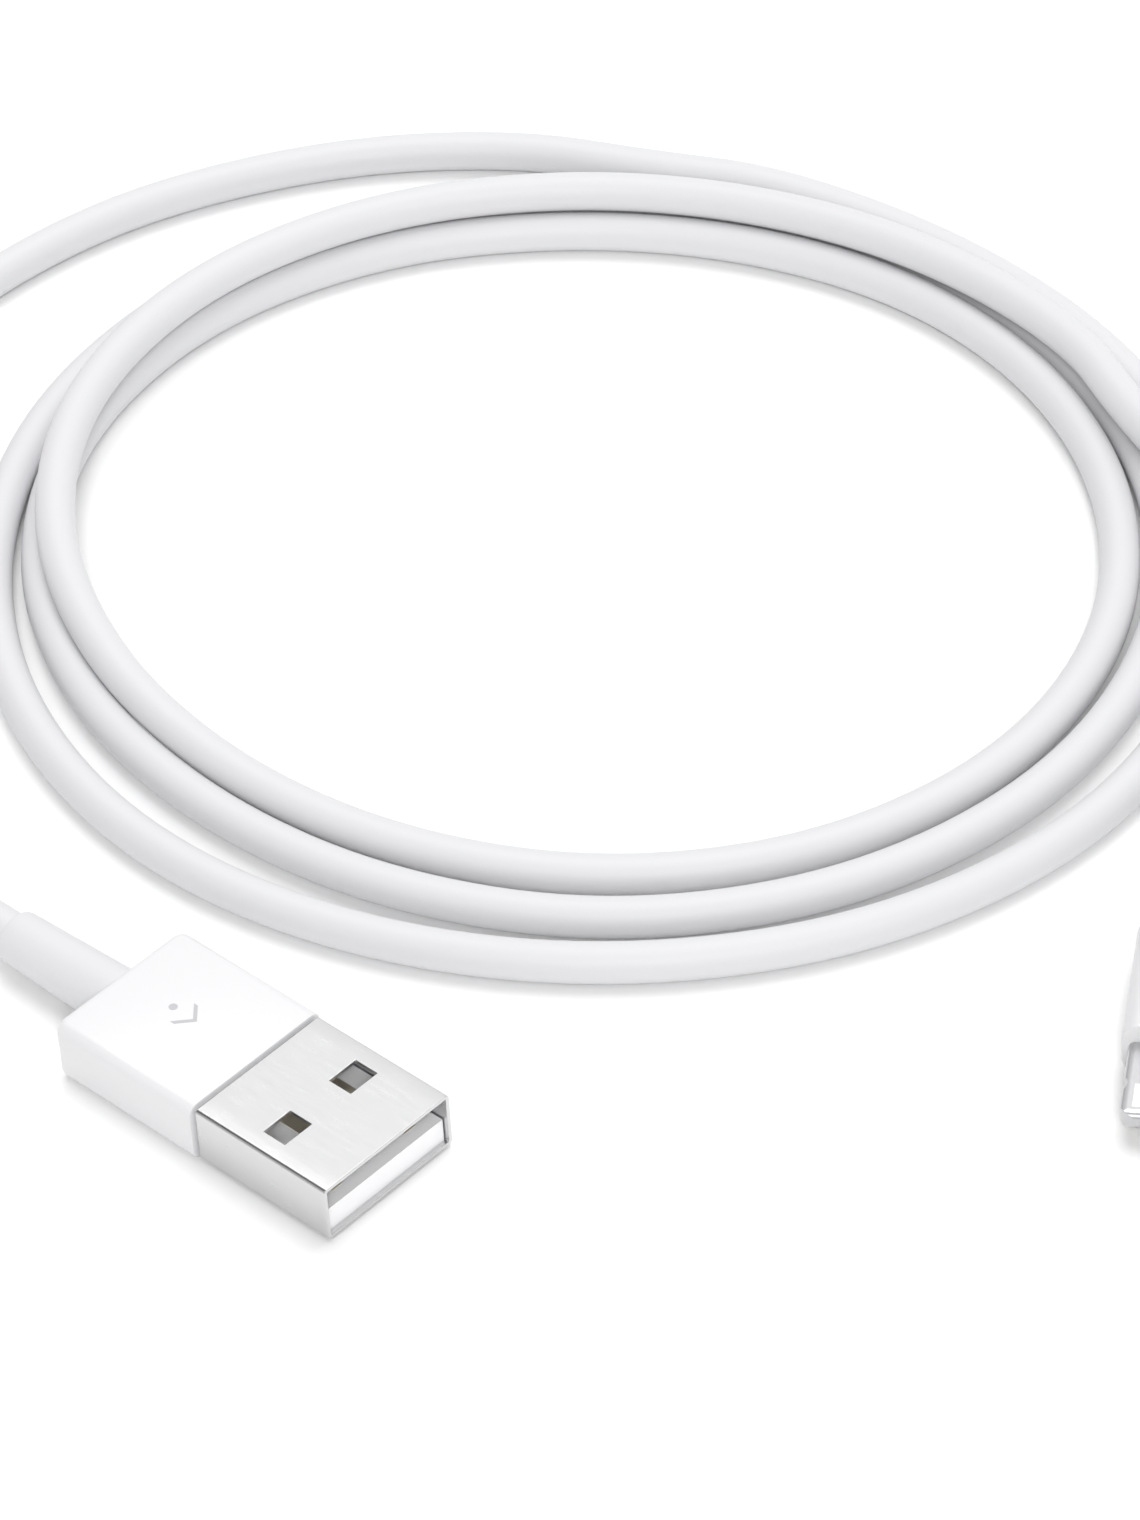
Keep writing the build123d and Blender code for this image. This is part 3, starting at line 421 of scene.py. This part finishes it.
def rounded_end_rings(rear, front, size, corner, end_corner, end_rounding, z_mid, steps=8):
    """Sections of a housing from its rounded rear end to its front."""
    width, height = size
    deepest = max(end_corner, end_rounding)
    rings = []
    for step in range(steps + 1):
        depth = deepest * (1 - math.cos(math.radians(90 * step / steps)))
        trim_y = end_corner - math.sqrt(max(end_corner ** 2 - max(end_corner - depth, 0) ** 2, 0))
        trim_z = end_rounding - math.sqrt(max(end_rounding ** 2 - max(end_rounding - depth, 0) ** 2, 0))
        section_corner = max(corner - trim_z / 2, NARROWEST_CORNER)
        rings.append(rounded_section(rear + depth, width / 2 - trim_y, height / 2 - trim_z,
                                     section_corner, z_mid))
    for back, trim in ((FRONT_EDGE, 0.0), (0.3 * FRONT_EDGE, 0.3 * FRONT_EDGE), (0.0, FRONT_EDGE)):
        rings.append(rounded_section(front - back, width / 2 - trim, height / 2 - trim,
                                     corner, z_mid))
    return rings


def build_usb_housing():
    rings = rounded_end_rings(HOUSING_REAR, HOUSING_FRONT - GAP, (HOUSING_WIDTH, HOUSING_HEIGHT),
                              HOUSING_CORNER, USB_REAR_CORNER, USB_REAR_ROUNDING, USB_MID)
    bm, _ = skin(rings)
    finish_piece("usb_housing_moulded", mesh_from("usb_housing_moulded", bm), "white_plastic",
                 ["usb_housing"])


def build_relief(name, exit_x, root_x, radii, z_mid, replaced, place=None):
    """Tapered sleeve round the cable, open at its far end and let into the housing."""
    end_radius, root_radius = radii
    slope = (root_radius - end_radius) / (root_x - exit_x)
    profile = [(root_x + RELIEF_LAP, CABLE_RADIUS), (exit_x, CABLE_RADIUS)]
    for step in range(5):
        angle = math.radians(90 * step / 4)
        profile.append((exit_x + RELIEF_LIP * (1 - math.cos(angle)),
                        end_radius - RELIEF_LIP * (1 - math.sin(angle))))
    for step in range(1, 9):
        x = exit_x + RELIEF_LIP + (root_x - exit_x - RELIEF_LIP) * step / 8
        profile.append((x, end_radius + slope * (x - exit_x)))
    profile.append((root_x + RELIEF_LAP, root_radius))
    rings = [circle_section(x, radius, z_mid) for x, radius in profile]
    bm, _ = skin(rings, looped=True)
    finish_piece(name, mesh_from(name, bm), "white_jacket", replaced, place=place)


def build_mark():
    """A plain printed mark: a chevron and a dot, pointing to the mouth."""
    low, high = HOUSING_HEIGHT - MARK_SINK, HOUSING_HEIGHT + MARK_RISE
    left, right = MARK_SIDE + CHEVRON_REACH, MARK_SIDE - CHEVRON_REACH
    chevron = [(CHEVRON_REAR, left), (CHEVRON_REAR + CHEVRON_STROKE, left),
               (CHEVRON_TIP + CHEVRON_STROKE, MARK_SIDE), (CHEVRON_REAR + CHEVRON_STROKE, right),
               (CHEVRON_REAR, right), (CHEVRON_TIP, MARK_SIDE)]
    finish_piece("usb_mark_chevron", extruded("usb_mark_chevron", chevron, low, high), MARK_INK)
    turns = [2 * math.pi * corner / DOT_CORNERS for corner in range(DOT_CORNERS)]
    dot = [(DOT_PLACE + DOT_RADIUS * math.cos(turn), MARK_SIDE + DOT_RADIUS * math.sin(turn))
           for turn in turns]
    finish_piece("usb_mark_dot", extruded("usb_mark_dot", dot, low, high), MARK_INK)


# ---------------------------------------------------------------- phone plug
def phone_matrix():
    return (Matrix.Translation((*PHONE_TIP_PLACE, PHONE_MID))
            @ Matrix.Rotation(math.radians(PHONE_TURN), 4, "Z"))


def build_phone_plug():
    place = phone_matrix()
    rings = rounded_end_rings(PHONE_REAR, PHONE_FRONT, (PHONE_HOUSING_WIDTH, PHONE_HOUSING_HEIGHT),
                              PHONE_HOUSING_CORNER, PHONE_REAR_CORNER, PHONE_REAR_ROUNDING, 0.0)
    bm, _ = skin(rings)
    finish_piece("phone_housing_moulded", mesh_from("phone_housing_moulded", bm), "white_plastic",
                 ["phone_housing"], place=place)
    build_relief("phone_relief_sleeve", PHONE_EXIT, PHONE_REAR, PHONE_RELIEF_RADII, 0.0,
                 ["phone_strain_relief"], place)


# ---------------------------------------------------------------- floor and light
FLOOR_REACH = 6.0
SOFT_LIGHTS = (                       # name, direction from the object, degrees across, strength
    ("overhead_light", (-0.16, 0.22, 0.96), 41.0, 1.27),
    ("back_card", (-0.46, 0.60, 0.65), 84.0, 0.62),
    ("front_fill", (0.533, -0.533, 0.657), 18.0, 1.10),
)
OVERHEAD = (0.0, 0.0, 1.0)
HORIZON_GLOW, SKY_GLOW, SKY_FROM = 1.0, 0.62, 0.15
FLAG_DIRECTION = (-0.72, -0.22, 0.66)
FLAG_EDGE, FLAG_MIDDLE, FLAG_GLOW = 0.86, 0.94, 0.06


def add_stage():
    mesh = bpy.data.meshes.new("floor")
    corners = [(x * FLOOR_REACH, y * FLOOR_REACH, 0) for x, y in ((-1, -1), (1, -1), (1, 1), (-1, 1))]
    mesh.from_pydata(corners, [], [(0, 1, 2, 3)])
    floor = bpy.data.objects.new("floor", mesh)
    bpy.context.scene.collection.objects.link(floor)
    mesh.materials.append(grained("floor_paper", (0.93, 0.93, 0.93), 0.9, 40.0, 0.0, 0.004,
                                  specular=0.1))
    add_studio_world()
    for light in SOFT_LIGHTS:
        add_soft_light(*light)
    bpy.context.scene.view_settings.view_transform = "Standard"


def world_ramp(nodes, links, coordinates, towards, start, end):
    """A value that changes with nearness to a direction; start and end are (cosine, value) pairs."""
    facing = nodes.new("ShaderNodeVectorMath")
    facing.operation = "DOT_PRODUCT"
    facing.inputs[1].default_value = Vector(towards).normalized()
    ramp = nodes.new("ShaderNodeMapRange")
    ramp.inputs["From Min"].default_value = start[0]
    ramp.inputs["From Max"].default_value = end[0]
    ramp.inputs["To Min"].default_value = start[1]
    ramp.inputs["To Max"].default_value = end[1]
    links.new(coordinates.outputs["Generated"], facing.inputs[0])
    links.new(facing.outputs["Value"], ramp.inputs["Value"])
    return ramp


def add_studio_world():
    """White surroundings, brightest at the horizon, with one dark flag high on the -X side."""
    world = bpy.data.worlds.new("studio")
    world.use_nodes = True
    nodes, links = world.node_tree.nodes, world.node_tree.links
    coordinates = nodes.new("ShaderNodeTexCoord")
    sky = world_ramp(nodes, links, coordinates, OVERHEAD, (0.0, HORIZON_GLOW), (SKY_FROM, SKY_GLOW))
    flag = world_ramp(nodes, links, coordinates, FLAG_DIRECTION, (FLAG_EDGE, 1.0),
                      (FLAG_MIDDLE, FLAG_GLOW))
    product = nodes.new("ShaderNodeMath")
    product.operation = "MULTIPLY"
    links.new(sky.outputs["Result"], product.inputs[0])
    links.new(flag.outputs["Result"], product.inputs[1])
    background = nodes["Background"]
    background.inputs["Color"].default_value = (1.0, 1.0, 1.0, 1.0)
    links.new(product.outputs["Value"], background.inputs["Strength"])
    bpy.context.scene.world = world


def add_soft_light(name, towards, spread, strength):
    """A large distant panel, spread degrees across, in this direction from the object."""
    data = bpy.data.lights.new(name, "SUN")
    data.angle = math.radians(spread)
    data.energy = strength
    light = bpy.data.objects.new(name, data)
    bpy.context.scene.collection.objects.link(light)
    light.matrix_world = (-Vector(towards)).to_track_quat("-Z", "Y").to_matrix().to_4x4()


add_camera()
paint_cad_nodes()
cable = add_cable()
build_usb_shell()
build_usb_housing()
build_relief("usb_relief_sleeve", USB_EXIT, HOUSING_REAR, USB_RELIEF_RADII, USB_MID,
             ["usb_strain_relief"])
build_mark()
build_phone_plug()
add_stage()
